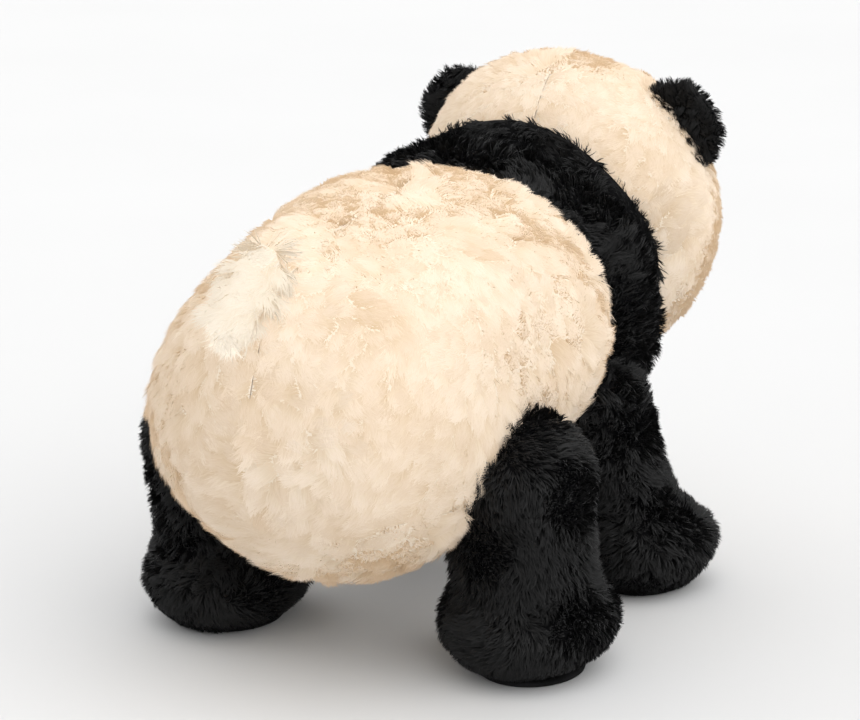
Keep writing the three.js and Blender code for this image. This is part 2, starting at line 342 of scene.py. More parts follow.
def cloth_material(name, low, high, bump=0.4):
    """The knitted backing that the pile stands on."""
    nodes = Nodes(name)
    place = nodes.object_place()
    weave = nodes.noise(900.0, 4.0, place).outputs["Fac"]
    patches = nodes.noise(60.0, 3.0, place).outputs["Fac"]
    nodes.join(nodes.ramp(patches, [(0.3, low), (0.7, high)]), "Base Color")
    nodes.join(nodes.ramp(weave, [(0.0, (0.8,) * 3), (1.0, (1.0,) * 3)]), "Roughness")
    nodes.bump(weave, bump, 0.6 * MM)
    nodes.set(Specular_IOR_Level=0.1)
    return nodes.material


def fibre_material():
    """Loose polyester filling."""
    nodes = Nodes("polyester_fibre")
    place = nodes.object_place()
    strands = nodes.add("ShaderNodeTexWave", [("Vector", place)], Scale=70.0, Distortion=18.0, Detail=4.0)
    clouds = nodes.noise(45.0, 6.0, place).outputs["Fac"]
    nodes.join(nodes.ramp(clouds, [(0.3, (0.78, 0.78, 0.76)), (0.7, (0.95, 0.95, 0.94))]), "Base Color")
    nodes.join(nodes.ramp(clouds, [(0.0, (0.85,) * 3), (1.0, (1.0,) * 3)]), "Roughness")
    nodes.bump(strands.outputs["Fac"], 0.7, 1.5 * MM)
    nodes.set(Sheen_Weight=0.3)
    return nodes.material


def plastic_material(name, low, high, roughness, grain, specular):
    nodes = Nodes(name)
    place = nodes.object_place()
    patches = nodes.noise(grain, 5.0, place).outputs["Fac"]
    nodes.join(nodes.ramp(patches, [(0.3, low), (0.7, high)]), "Base Color")
    spread = nodes.ramp(patches, [(0.2, (roughness * 0.8,) * 3), (0.8, (roughness * 1.3,) * 3)])
    nodes.join(spread, "Roughness")
    nodes.bump(nodes.noise(grain * 6, 3.0, place).outputs["Fac"], 0.05, 0.2 * MM)
    nodes.set(Specular_IOR_Level=specular)
    return nodes.material


def thread_material():
    nodes = Nodes("embroidery_thread")
    place = nodes.object_place()
    plies = nodes.add("ShaderNodeTexWave", [("Vector", place)], Scale=380.0, Distortion=2.0)
    nodes.join(nodes.ramp(plies.outputs["Fac"], [(0, (0.006,) * 3), (1, (0.03,) * 3)]), "Base Color")
    nodes.join(nodes.ramp(plies.outputs["Fac"], [(0, (0.7,) * 3), (1, (0.5,) * 3)]), "Roughness")
    nodes.bump(plies.outputs["Fac"], 0.5, 0.3 * MM)
    return nodes.material


# Each pile's root colour, darker than its tip, is painted shade deep in the pile; the tip colour is the
# fibre's own.
CREAM_PILE = pile_material(
    "cream_pile", (0.77, 0.61, 0.44), (0.83, 0.69, 0.53), (0.86, 0.73, 0.61),
    (0.80, 0.72, 0.62), roughness=0.9, sheen=0.05, specular=0.05,
)
PALE_PILE = pile_material(
    "pale_pile", (0.76, 0.63, 0.47), (0.80, 0.70, 0.57), (0.82, 0.75, 0.65),
    (0.90, 0.88, 0.84), roughness=0.9, sheen=0.05, specular=0.05,
)
BLACK_PILE = pile_material(
    "black_pile", (0.001, 0.001, 0.001), (0.003, 0.003, 0.003), (0.008, 0.008, 0.0085),
    (0.5, 0.5, 0.5), roughness=0.6, sheen=0.03, specular=0.3,
)
# The cream backing's tan, close to the pile's root colour, is painted shade in the gaps between strands,
# laid over the cloth's own cream.
CREAM_CLOTH = cloth_material("cream_backing_painted_shade", (0.80, 0.67, 0.52), (0.84, 0.73, 0.60))
BLACK_CLOTH = cloth_material("black_backing", (0.003, 0.003, 0.003), (0.008, 0.008, 0.009))
FIBRE = fibre_material()


# ---- pile ----


class Coat:
    """How one kind of pile grows. Lengths in metres, density in strands for each square metre."""

    def __init__(self, material, slot, length, lean, density, width, clump, pull, soft):
        self.material = material
        self.slot = slot
        self.length = length
        self.lean = math.radians(lean)  # from the cloth's normal
        self.density = density
        self.width = width
        self.clump = clump  # distance between the middles of two locks
        self.pull = pull  # how far a lock draws its tips together
        self.soft = soft  # how far the shading follows the cloth and not the strand
        self.trim = 0.0  # the pile gets shorter below this height above the ground
        self.twist = 0.35 if material in LIT_THROUGH else 0.9  # about each strand's own length

    def __call__(self, **changes):
        other = Coat.__new__(Coat)
        other.__dict__.update(self.__dict__)
        other.__dict__.update(changes)
        return other


PER_MM2 = 1e6
LIT_THROUGH = (CREAM_PILE, PALE_PILE)  # fine pale fibres hardly shade each other
MOST_STRANDS = 60000  # in one piece
FLOOR_PRESS = 1.5 * MM  # pile that meets the ground lies flat, this thick
CREAM = Coat(CREAM_PILE, "cream_plush", 11 * MM, 64, 1.9 * PER_MM2, 0.6 * MM, 6 * MM, 0.5, 0.8)
TAIL = Coat(PALE_PILE, "pale_plush", 17 * MM, 72, 3.0 * PER_MM2, 0.7 * MM, 5 * MM, 0.35, 0.95)
BLACK = Coat(BLACK_PILE, "black_plush", 8 * MM, 38, 1.1 * PER_MM2, 0.7 * MM, 4 * MM, 0.4, 0.5)
EAR_PILE = BLACK(length=5.5 * MM, density=2.5 * PER_MM2, width=0.55 * MM, soft=0.6)
MUZZLE = Coat(CREAM_PILE, "muzzle_plush", 4 * MM, 50, 3.0 * PER_MM2, 0.6 * MM, 3 * MM, 0.25, 0.9)
PATCH = Coat(BLACK_PILE, "black_short_plush", 7 * MM, 45, 3.0 * PER_MM2, 0.6 * MM, 3 * MM, 0.3, 0.5)


def scatter(mesh, density, rng):
    """Roots spread evenly over the mesh's triangles, with the surface's smooth normals."""
    mesh.calc_loop_triangles()
    corners = np.empty(len(mesh.loop_triangles) * 3, np.int32)
    mesh.loop_triangles.foreach_get("vertices", corners)
    corners = corners.reshape(-1, 3)
    points, normals = surface(mesh)
    a, b, c = (points[corners[:, i]] for i in range(3))
    area = np.linalg.norm(np.cross(b - a, c - a), axis=1) / 2
    total = int(area.sum() * density)
    chosen = np.searchsorted(np.cumsum(area), (np.arange(total) + rng.random(total)) / density)
    chosen = np.minimum(chosen, len(area) - 1)
    u, v = rng.random(total), rng.random(total)
    over = u + v > 1
    u[over], v[over] = 1 - u[over], 1 - v[over]
    share = np.stack([1 - u - v, u, v], axis=1)
    blend = lambda values: np.einsum("nk,nkj->nj", share, values[corners[chosen]])
    return blend(points), unit(blend(normals))


def clear_of(points, hosts, depth):
    """True for the points that don't lie deeper than depth inside any of the closed host forms."""
    free = np.ones(len(points), bool)
    for tree, low, high in hosts:
        near = np.all((points > low) & (points < high), axis=1) & free
        for i in np.flatnonzero(near):
            place, normal, _, _ = tree.find_nearest(Vector(points[i]))
            if (Vector(points[i]) - place).dot(normal) < -depth:
                free[i] = False
    return free


def host(mesh):
    points, _ = surface(mesh)
    return tree_of(mesh), points.min(axis=0), points.max(axis=0)


def flatten(vectors, normals):
    """The vectors laid into the cloth's plane, as unit vectors."""
    return unit(vectors - (vectors * normals).sum(axis=1, keepdims=True) * normals)


def grow(name, mesh, coat, comb, body, seed, hosts=(), depth=3 * MM):
    """Grows a coat of separate strands on the mesh, in pieces of at most MOST_STRANDS."""
    rng = np.random.default_rng(seed)
    roots, normals = scatter(mesh, coat.density, rng)
    if hosts:
        free = clear_of(roots, hosts, depth)
        roots, normals = roots[free], normals[free]
    count = len(roots)
    wander = wave_field(seed + 1, 28 * MM, 3)
    comb_way = flatten(comb(roots) + 0.75 * wander(roots), normals)

    # Locks: each strand belongs to the nearest lock's middle, and leans the way it does.
    locks = max(1, int(count / coat.density / coat.clump**2))
    middle = rng.choice(count, locks, replace=False)
    tree = KDTree(locks)
    for i, k in enumerate(middle):
        tree.insert(roots[k], i)
    tree.balance()
    lock = np.array([tree.find(point)[1] for point in roots])
    swept = wave_field(seed + 3, 70 * MM)(roots[middle])
    turn = rng.normal(0, 0.55, locks)[:, None] * (1 - 0.5 * np.clip(swept, -0.8, 1))
    side = np.cross(normals[middle], comb_way[middle])
    lock_way = comb_way[middle] * np.cos(turn) + side * np.sin(turn)
    lock_lean = coat.lean * rng.uniform(0.86, 1.1, locks)[:, None] * (1 + 0.08 * np.clip(swept, -1, 1))
    lock_long = coat.length * rng.uniform(0.8, 1.12, locks)[:, None]
    lock_tip = roots[middle] + lock_long * (
        np.cos(lock_lean) * normals[middle] + np.sin(lock_lean) * lock_way
    )

    # Each strand rises from its root, bends over and ends near its lock's tip.
    way = flatten(lock_way[lock] + rng.normal(0, 0.35, (count, 3)), normals)
    lean = lock_lean[lock] * rng.uniform(0.88, 1.12, count)[:, None]
    long = lock_long[lock] * rng.uniform(0.75, 1.1, count)[:, None]
    if coat.trim:
        long = long * np.clip(roots[:, 2:] / coat.trim, 0.35, 1)
    own_tip = roots + long * (np.cos(lean) * normals + np.sin(lean) * way)
    gathered = lock_tip[lock] + (roots - roots[middle][lock]) * 0.35
    pull = coat.pull * rng.uniform(0.5, 1.2, count)[:, None]
    pull = pull * np.clip(roots[:, 2:] / 0.03, 0.2, 1)  # locks lie apart near the ground
    tip = own_tip + (gathered - own_tip) * pull
    waist = roots + 0.55 * (tip - roots) + normals * long * 0.12
    waist += rng.normal(0, 0.03, (count, 3)) * coat.length

    for points in (waist, tip):
        points[:, 2] = np.maximum(points[:, 2], FLOOR_PRESS * rng.random(count))

    # A strand is a flat ribbon that narrows to its tip, turned at random about its own length.
    run = unit(tip - roots)
    across = unit(np.cross(run, normals) + 1e-6)
    turned = rng.uniform(-coat.twist, coat.twist, count)[:, None]
    across = across * np.cos(turned) + np.cross(run, across) * np.sin(turned)
    half = across * coat.width / 2 * rng.uniform(0.7, 1.2, count)[:, None]
    points = np.stack(
        [roots - half, roots + half, waist - half * 0.8, waist + half * 0.8, tip], axis=1
    )
    flat = np.cross(points[:, 1] - points[:, 0], tip - roots)
    backward = (flat * normals).sum(axis=1) < 0
    points[backward] = points[backward][:, [1, 0, 3, 2, 4]]

    tone = 0.6 + 0.12 * np.clip(wave_field(seed + 2, 20 * MM)(roots)[:, 0], -3, 3)
    tone += rng.normal(0, 0.16, locks)[lock] + rng.normal(0, 0.08, count)
    facing = unit(np.cross(points[:, 1] - points[:, 0], tip - roots))
    shade = unit(coat.soft * normals + (1 - coat.soft) * facing)
    order = np.argsort(roots[:, 1], kind="stable")
    shares = np.array_split(order, math.ceil(count / MOST_STRANDS))
    for number, chosen in enumerate(shares, 1):
        strand_piece(f"{name}_{number}", points[chosen], np.clip(tone[chosen], 0.03, 0.97),
                     shade[chosen], coat, body)


def strand_piece(name, points, tone, shade, coat, body):
    """One piece of strands, five points each. U runs over their tones, and V from root to tip, so the
    material paints the shade deep in the pile at the root.
    """
    count = len(points)
    mesh = bpy.data.meshes.new(name)
    corners = np.arange(count)[:, None] * 5 + np.array([0, 1, 3, 0, 3, 2, 2, 3, 4])
    mesh.vertices.add(count * 5)
    mesh.vertices.foreach_set("co", points.astype(np.float32).ravel())
    mesh.loops.add(count * 9)
    mesh.loops.foreach_set("vertex_index", corners.astype(np.int32).ravel())
    mesh.polygons.add(count * 3)
    mesh.polygons.foreach_set("loop_start", np.arange(count * 3, dtype=np.int32) * 3)
    mesh.polygons.foreach_set("use_smooth", [True] * (count * 3))
    mesh.update(calc_edges=True)

    edge = np.array([-0.02, 0.02, -0.02, 0.02, 0.0])
    height = np.array([0.02, 0.02, 0.55, 0.55, 0.98])
    layer = np.stack([tone[:, None] + edge, np.broadcast_to(height, (count, 5))], axis=2)
    uv = mesh.uv_layers.new(name="OFBake")
    uv.data.foreach_set("uv", layer.reshape(-1, 2)[corners.ravel()].astype(np.float32).ravel())
    mesh.normals_split_custom_set_from_vertices(np.repeat(shade, 5, axis=0))
    pile = piece(name, mesh, coat.material, body)
    pile.visible_shadow = coat.material not in LIT_THROUGH
    pile.visible_diffuse = coat.material not in LIT_THROUGH


# ---- body ----

BACK = ("back_panel_left", "back_panel_right")
BODY_NODES = (*BACK, "belly_panel", "shoulder_band", "chest_panel")

# The body's sections from its rear to its front: how far from the band's seam to the rear end,
# the middle's height above the body's middle, and the half width and half height, as shares.
BODY = [
    [1.000, -0.032, 0.000, 0.000],
    [0.950, -0.032, 0.455, 0.505],
    [0.821, -0.034, 0.757, 0.830],
    [0.646, -0.034, 0.883, 0.960],
    [0.420, 0.010, 0.942, 0.960],
    [0.199, 0.052, 1.000, 0.905],
    [0.057, 0.052, 0.932, 0.862],
    [-0.014, 0.052, 0.874, 0.850],
    [-0.118, 0.046, 0.965, 0.972],
    [-0.218, 0.036, 0.925, 0.945],
    [-0.285, 0.036, 0.830, 0.858],
    [-0.320, 0.036, 0.000, 0.000],
]


def body_mesh(name, inset):
    low, high = box_of(*BODY_NODES)
    seam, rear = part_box(BACK[0])[0].y, high[1]
    half = (high - low) / 2
    rows = np.array(BODY)
    ghosts = [rows[1] * [1, 1, -1, -1], rows[-2] * [1, 1, -1, -1]]
    rows = smooth_rows(rows, 9, *ghosts)
    y = seam + rows[:, 0] * (rear - seam)
    middle = (y[0] + y[-1]) / 2
    y = middle + (y - middle) * (1 - inset / (y[0] - middle))
    z = (low[2] + high[2]) / 2 + rows[:, 1] * 2 * half[2]
    wide = np.maximum(rows[:, 2] * half[0] - inset, 0.002)
    tall = np.maximum(rows[:, 3] * half[2] - inset, 0.002)
    angle = np.linspace(0, 2 * math.pi, AROUND, endpoint=False)
    ring = np.stack(
        [
            wide[:, None] * np.cos(angle),
            np.broadcast_to(y[:, None], (len(y), AROUND)),
            z[:, None] + tall[:, None] * np.sin(angle),
        ],
        axis=2,
    )
    ends = [np.array([0, y[i], z[i]]) for i in (0, -1)]
    return shell_mesh(name, ring[1:-1], *ends)


# ---- head ----

HEAD_NODES = ("head_cover_left", "head_cover_right")
HEAD_BACK = 0.476  # the share of the head's depth that lies behind its widest section


def head_shape(inset=0.0):
    """The head's middle, and its radii across, to the back, to the front and up."""
    low, high = box_of(*HEAD_NODES)
    size = high - low
    middle = (low + high) / 2
    middle[1] = high[1] - HEAD_BACK * size[1]
    radii = [size[0] / 2, HEAD_BACK * size[1], (1 - HEAD_BACK) * size[1], size[2] / 2]
    return middle, [value - inset for value in radii]


def head_mesh(name, inset):
    middle, (across, back, front, up) = head_shape(inset)
    mesh = ball_mesh(name, np.zeros(3), np.ones(3), sides=AROUND)

    def shift(points, _):
        out = points * [across, back, up]
        ahead = points[:, 1] < 0
        out[ahead, 1] = points[ahead, 1] * front
        return out + middle

    move_points(mesh, shift)
    return mesh


def make_room(mesh, clearance):
    """Presses the mesh's front into a bowl round the back of the head."""
    middle, (across, back, front, up) = head_shape(-clearance)

    def shift(points, _):
        away = points - middle
        depth = np.where(away[:, 1] > 0, back, front)
        scale = np.stack([np.full(len(points), across), depth, np.full(len(points), up)], axis=1)
        reach = np.linalg.norm(away / scale, axis=1, keepdims=True)
        return np.where(reach < 1, middle + away / np.maximum(reach, 0.05), points)

    move_points(mesh, shift)
    return mesh


# ---- legs ----

LEGS = ("rear_leg_left", "rear_leg_right", "front_leg_left", "front_leg_right")

# A leg's sections below its hip: the height as a share of the hip's height, the way from the
# hip to the foot, and the half width and half depth as shares of the hip's radius.
LEG = [
    [0.72, 0.30, 0.91, 0.95],
    [0.48, 0.68, 0.92, 1.00],
    [0.29, 1.00, 1.08, 1.23],
    [0.14, 1.00, 1.00, 1.13],
    [0.05, 1.00, 0.80, 0.91],
    [0.01, 1.00, 0.60, 0.68],
]


def leg_mesh(name, leg, inset, floor):
    """A leg with a round top in the body's side and a flat foot, down to the floor height."""
    hip = joint_point(f"{leg}_swing")
    low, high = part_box(f"{leg}_sole")
    foot = (np.array(low) + np.array(high)) / 2
    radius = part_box(f"{leg}_cover")[1].z - hip[2]
    rows = [[hip[2] + radius * math.sin(a), 0, math.cos(a), math.cos(a)] for a in
            (math.pi / 2, 1.13, 0.7, 0.3)]
    rows += [[share * hip[2], *rest] for share, *rest in LEG]
    ghost = [rows[1][0], 0, -rows[1][2], -rows[1][3]]
    rows = smooth_rows(rows, 7, ghost)
    top = rows[0, 0] - inset
    z = floor + (rows[:, 0] - rows[-1, 0]) * (top - floor) / (rows[0, 0] - rows[-1, 0])
    wide = np.maximum(rows[:, 2] * radius - inset, 0.001)
    deep = np.maximum(rows[:, 3] * radius - inset, 0.001)
    angle = np.linspace(0, 2 * math.pi, 64, endpoint=False)
    middle = hip + rows[:, 1:2] * (foot - hip)
    ring = np.stack(
        [
            middle[:, :1] + wide[:, None] * np.cos(angle),
            middle[:, 1:2] + deep[:, None] * np.sin(angle),
            np.broadcast_to(z[:, None], (len(z), 64)),
        ],
        axis=2,
    )
    start = np.array([middle[0, 0], middle[0, 1], z[0]])
    end = np.array([middle[-1, 0], middle[-1, 1], z[-1]])
    return shell_mesh(name, ring[1:], start, end)


# ---- ears and tail ----


def ear_turn(side):
    """The ear's own axes as columns: across its root, through its thickness, and outward."""
    root = joint_point(f"ear_{side}_flop")
    middle, _ = head_shape()
    out = unit((root - middle) * [1, 0, 1])
    through = np.array([0, 1.0, 0])
    return np.stack([np.cross(through, out), through, out], axis=1), root


EAR_RADIUS = 29 * MM
EAR_INSIDE = 10.5 * MM  # from the ear's root back to the middle of its round outline


def ear_mesh(name, side, inset):
    turn, root = ear_turn(side)
    low, high = box_of(f"ear_{side}_front", f"ear_{side}_back")
    thick = (high[1] - low[1]) / 2
    middle = root - turn[:, 2] * EAR_INSIDE
    middle[1] = (low[1] + high[1]) / 2
    radii = np.array([EAR_RADIUS - inset, thick - inset * 0.55, EAR_RADIUS - inset])
    return ball_mesh(name, middle, radii, turn, sides=40, power=2.3)


def tail_mesh(name, inset):
    low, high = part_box("tail")
    middle = (np.array(low) + np.array(high)) / 2
    lean = math.radians(51)
    turn = np.array(Matrix.Rotation(lean, 3, "X"))
    radii = np.array([14 * MM - inset, 4 * MM, 30 * MM - inset])
    return ball_mesh(name, middle, radii, turn, sides=32)


# ---- covers and their pile ----

MUZZLE_RADII = np.array([34, 30, 25]) * MM
MUZZLE_LOW, MUZZLE_HIGH = box_of("muzzle_cover")
MUZZLE_MIDDLE = (MUZZLE_LOW + MUZZLE_HIGH) / 2
MUZZLE_MIDDLE[1] = MUZZLE_LOW[1] + MUZZLE_RADII[1]

muzzle = stuffed(ball_mesh("muzzle_form", MUZZLE_MIDDLE, MUZZLE_RADII - 3 * MM, sides=56), 11, 0.4 * MM)
body = make_room(stuffed(body_mesh("body_form", CREAM_RISE), 3, 1.6 * MM), 3 * MM)
head = stuffed(head_mesh("head_form", CREAM_RISE), 5, 1.2 * MM)
legs = {leg: stuffed(leg_mesh(leg, leg, BLACK_RISE, 1.5 * MM), 7 + i, 1.2 * MM)
        for i, leg in enumerate(LEGS)}

SEAM_BACK = 6 * MM  # from the CAD's band seam back to the seam drawn here
BAND_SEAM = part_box(BACK[0])[0].y + SEAM_BACK
BELLY_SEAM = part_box("belly_panel")[1].z
CHEST_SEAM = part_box("chest_panel")[1].z

PANELS = {
    "back_left": ("back_panel_left", [(0, 1, SEAM_GAP), (1, 1, BAND_SEAM), (2, 1, BELLY_SEAM)]),
    "back_right": ("back_panel_right", [(0, -1, -SEAM_GAP), (1, 1, BAND_SEAM), (2, 1, BELLY_SEAM)]),
    "belly": ("belly_panel", [(1, 1, BAND_SEAM), (2, -1, BELLY_SEAM - SEAM_GAP)]),
    "shoulder": ("shoulder_band", [(1, -1, BAND_SEAM - SEAM_GAP), (2, 1, CHEST_SEAM)]),
    "chest": ("chest_panel", [(1, -1, BAND_SEAM - SEAM_GAP), (2, -1, CHEST_SEAM - SEAM_GAP)]),
}

leg_hosts = [host(mesh) for mesh in legs.values()]
head_host = host(head)
body_host = host(body)


def body_comb(points):
    """Back over the rump and down the sides, and forward over the band's seam."""
    sides = np.stack([points[:, 0] * 2, np.zeros(len(points)), np.full(len(points), -0.1)], axis=1)
    back = np.clip((points[:, 1] - BAND_SEAM) / 0.05 - 0.6, -1, 1)
    sides[:, 1] += back
    sides[:, 2] -= 0.5 * np.abs(back)
    return sides


def band_comb(points):
    """Back, over the rump's seam."""
    return np.broadcast_to([0, 1.0, 0.1], points.shape)


def add_body():
    # The collar in front of the band's middle is given as lying between torso and neck; its pieces are left
    # in place, attached to neither.
    collar_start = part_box("shoulder_band")[0].y + 30 * MM
    collar = ("torso", "neck", (0, collar_start, 0), (0, collar_start - 35 * MM, 0))
    for i, (name, (node, cuts)) in enumerate(PANELS.items()):
        mesh = cut_mesh(body, f"{name}_cloth", cuts)
        black = name in ("shoulder", "chest")
        body_name = collar if black else "torso"
        cloth, coat = (BLACK_CLOTH, BLACK) if black else (CREAM_CLOTH, CREAM)
        grow(
            f"{name}_pile", mesh, coat, band_comb if black else body_comb, body_name,
            100 + 10 * i, [*leg_hosts, head_host],
        )
        piece(f"{name}_cloth", mesh, cloth, body_name, [node], CLOTH_THICK)


def head_comb(points):
    """From the nose over the face, up and back to the nape."""
    middle, _ = head_shape()
    away = unit(points - middle)
    return np.stack([away[:, 0] * 0.5, np.full(len(points), 0.8), away[:, 2] * 0.3 - 0.45], axis=1)


def patch_room(side):
    """The part of the face that an eye patch covers, where the head's own pile doesn't show."""
    low, high = box_of(f"eye_patch_{side}")
    half = (high - low) / 2 + [0.5 * MM, 12 * MM, 0.5 * MM]
    return ball_mesh("patch_room", (low + high) / 2, half, sides=32)


def add_head():
    middle, _ = head_shape()
    covered = [host(muzzle), host(patch_room("left")), host(patch_room("right"))]
    for i, (side, sign) in enumerate((("left", 1), ("right", -1))):
        mesh = cut_mesh(head, f"head_{side}_cloth", [(0, sign, middle[0] + sign * SEAM_GAP)])
        grow(f"head_{side}_pile", mesh, CREAM(length=9 * MM, clump=4.5 * MM), head_comb, "head",
             200 + 10 * i, covered, 0.5 * MM)
        piece(f"head_{side}_cloth", mesh, CREAM_CLOTH, "head",
              [f"head_cover_{side}"], CLOTH_THICK)


def leg_comb(points):
    """Down to the foot, and slightly back."""
    return np.broadcast_to([0, 0.15, -0.7], points.shape)


def add_leg(leg, seed):
    mesh = legs[leg]
    upper = cut_mesh(mesh, f"{leg}_cloth", [(2, 1, 2 * MM)])
    grow(f"{leg}_pile", upper, BLACK(trim=28 * MM), leg_comb, leg, seed, [body_host], 2 * MM)
    piece(f"{leg}_cloth", upper, BLACK_CLOTH, leg, [f"{leg}_cover"], CLOTH_THICK)


def add_sole(leg):
    """The sole's fabric pad, a little smaller than the foot, so the pile hides its edge."""
    low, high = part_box(f"{leg}_sole")
    low, high = np.array(low), np.array(high)
    middle = (low + high) / 2
    half = (high - low) / 2
    angle = np.linspace(0, 2 * math.pi, 64, endpoint=False)
    rings = []
    for share, height in ((0.2, 0.0), (0.5, 0.0), (0.74, 0.0), (0.79, 0.12), (0.8, 0.4), (0.77, 0.7),
                          (0.5, 0.8), (0.2, 0.8)):
        x = middle[0] + half[0] * share * np.cos(angle)
        y = middle[1] + half[1] * share * np.sin(angle)
        rings.append(np.stack([x, y, np.full(64, low[2] + height * (high[2] - low[2]))], axis=1))
    centres = [np.array([middle[0], middle[1], z]) for z in (low[2], high[2])]
    mesh = shell_mesh(f"{leg}_sole_pad", np.array(rings), *centres)
    piece(f"{leg}_sole_pad", mesh, SOLE_CLOTH, leg, [f"{leg}_sole"])


def add_ear(side, seed):
    body_name = f"ear_{side}"
    form = ear_mesh(f"{body_name}_form", side, 4.5 * MM)
    turn, root = ear_turn(side)
    middle_y = (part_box(f"ear_{side}_front")[1].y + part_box(f"ear_{side}_back")[0].y) / 2

    def comb(points):
        return (points - root) * 10 + turn[:, 2] * 0.4

    for i, (face, sign) in enumerate((("front", -1), ("back", 1))):
        mesh = cut_mesh(form, f"{body_name}_{face}_cloth", [(1, sign, middle_y + sign * SEAM_GAP)])
        grow(f"{body_name}_{face}_pile", mesh, EAR_PILE, comb, body_name, seed + 10 * i,
             [head_host], 1 * MM)
        piece(f"{body_name}_{face}_cloth", mesh, BLACK_CLOTH, body_name,
              [f"{body_name}_{face}"], CLOTH_THICK)
    bpy.data.meshes.remove(form)


def add_tail():
    mesh = tail_mesh("tail_cloth", 4 * MM)

    def comb(points):
        low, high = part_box("tail")
        middle = (np.array(low) + np.array(high)) / 2
        return np.array([[0, 1.0, -1.5]]) + (points - middle) * [18, 0, 0]

    grow("tail_pile", mesh, TAIL, comb, "tail_flap", 400)
    piece("tail_cloth", mesh, CREAM_CLOTH, "tail_flap", ["tail"])


# ---- face ----


def nose_room():
    low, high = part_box("nose")
    return ball_mesh("nose_room", np.array((low + high) / 2), np.array((high - low) / 2), sides=24)


def add_muzzle():
    def comb(points):
        return (points - MUZZLE_MIDDLE) * [12, 0, 8] + np.array([0, 0.5, 0])

    grow("muzzle_pile", muzzle, MUZZLE, comb, "head", 500, [head_host, host(nose_room())], 1 * MM)
    piece("muzzle_cloth", muzzle, CREAM_CLOTH, "head", ["muzzle_cover"])


def face_y(x, z, rise=0.0):
    """The y of the head's cloth, plus a rise, at an x and z on the face."""
    middle, (across, _, front, up) = head_shape(CREAM_RISE - rise)
    flat = 1 - ((x - middle[0]) / across) ** 2 - ((z - middle[2]) / up) ** 2
    return middle[1] - front * np.sqrt(np.maximum(flat, 0.0))


def add_patch(side, seed):
    low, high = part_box(f"eye_patch_{side}")
    middle = (low + high) / 2
    angle = np.linspace(0, 2 * math.pi, 48, endpoint=False)
    rings = []
    for share, rise in ((0.15, 4.6), (0.45, 4.6), (0.75, 4.3), (0.93, 3.4), (1.0, 1.5), (0.97, -1.0)):
        x = middle.x + (high.x - low.x) / 2 * share * np.cos(angle)
        z = middle.z + (high.z - low.z) / 2 * share * np.sin(angle)
        rings.append(np.stack([x, face_y(x, z, rise * MM), z], axis=1))
    tip = np.array([middle.x, face_y(middle.x, middle.z, 4.6 * MM), middle.z])
    mesh = shell_mesh(f"eye_patch_{side}_cloth", np.array(rings), tip)

    def comb(points):
        return (points - np.array(middle)) * [20, 0, 20] + np.array([0, 0, -0.2])

    eye_low, eye_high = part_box(f"eye_{side}")
    eye = (eye_low + eye_high) / 2
    eye_host = host(ball_mesh("eye_room", np.array([eye.x, eye_low.y + 7 * MM, eye.z]),
                              np.array([7, 9, 7]) * MM, sides=24))
    grow(f"eye_patch_{side}_pile", mesh, PATCH, comb, "head", seed, [eye_host], 0.5 * MM)
    piece(f"eye_patch_{side}_cloth", mesh, BLACK_CLOTH, "head",
          [f"eye_patch_{side}"], CLOTH_THICK)


def turned(name, profile, place, sides=40):
    """A turned part along Y: profile is (radius, y) from front to back, place its x and z."""
    angle = np.linspace(0, 2 * math.pi, sides, endpoint=False)
    rings = np.array([
        np.stack([place[0] + r * np.cos(angle), np.full(sides, y), place[1] + r * np.sin(angle)], axis=1)
        for r, y in profile if r > 0
    ])
    ends = [np.array([place[0], y, place[1]]) for y in (profile[0][1], profile[-1][1])]
    return shell_mesh(name, rings, *ends)


def add_eye(side):
    low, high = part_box(f"eye_{side}")
    radius = (high.x - low.x) / 2 + 0.4 * MM
    place = ((low.x + high.x) / 2, (low.z + high.z) / 2)
    back = low.y + 6.4 * MM
    dome = [(radius * math.sin(a), back - 6.4 * MM * math.cos(a)) for a in np.linspace(0, math.pi / 2, 12)]
    shank = 2.5 * MM
    profile = dome + [(radius * 0.96, back + 1.2 * MM), (radius * 0.6, back + 1.6 * MM),
                      (shank, back + 2 * MM), (shank, high.y - 1 * MM), (shank * 0.8, high.y), (0, high.y)]
    piece(f"eye_{side}_dome", turned(f"eye_{side}_dome", profile, place), EYE_PLASTIC, "head",
          [f"eye_{side}"])


def add_washer(side):
    low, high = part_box(f"eye_{side}_washer")
    place = ((low.x + high.x) / 2, (low.z + high.z) / 2)
    outer = (high.x - low.x) / 2
    hole = 3.0 * MM
    profile = [(hole, low.y + 0.2 * MM), (hole + 0.3 * MM, low.y), (outer * 0.6, low.y),
               (outer * 0.96, low.y), (outer, low.y + 0.4 * MM), (outer, high.y - 0.3 * MM),
               (outer * 0.97, high.y), (outer * 0.55, high.y), (outer * 0.5, high.y - 0.4 * MM),
               (hole + 0.4 * MM, high.y - 0.4 * MM), (hole, high.y - 0.6 * MM)]
    angle = np.linspace(0, 2 * math.pi, 48, endpoint=False)
    rings = np.array([
        np.stack([place[0] + r * np.cos(angle), np.full(48, y), place[1] + r * np.sin(angle)], axis=1)
        for r, y in profile + profile[:1]
    ])
    piece(f"eye_{side}_lock", shell_mesh(f"eye_{side}_lock", rings), WASHER_PLASTIC, "head",
          [f"eye_{side}_washer"])


def add_nose():
    low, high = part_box("nose")
    middle = np.array((low + high) / 2)
    radii = np.array((high - low) / 2) + [0.3 * MM, 3 * MM, 0.3 * MM]
    mesh = ball_mesh("nose_button", middle + np.array([0, 2.5 * MM, 0]), radii, sides=48, power=2.2)

    def shape(points, _):
        up = (points[:, 2] - middle[2]) / radii[2]
        out = points.copy()
        out[:, 0] = middle[0] + (points[:, 0] - middle[0]) * (0.86 + 0.16 * up)
        return out

    move_points(mesh, shape)
    piece("nose_button", mesh, NOSE_PLASTIC, "head", ["nose"])


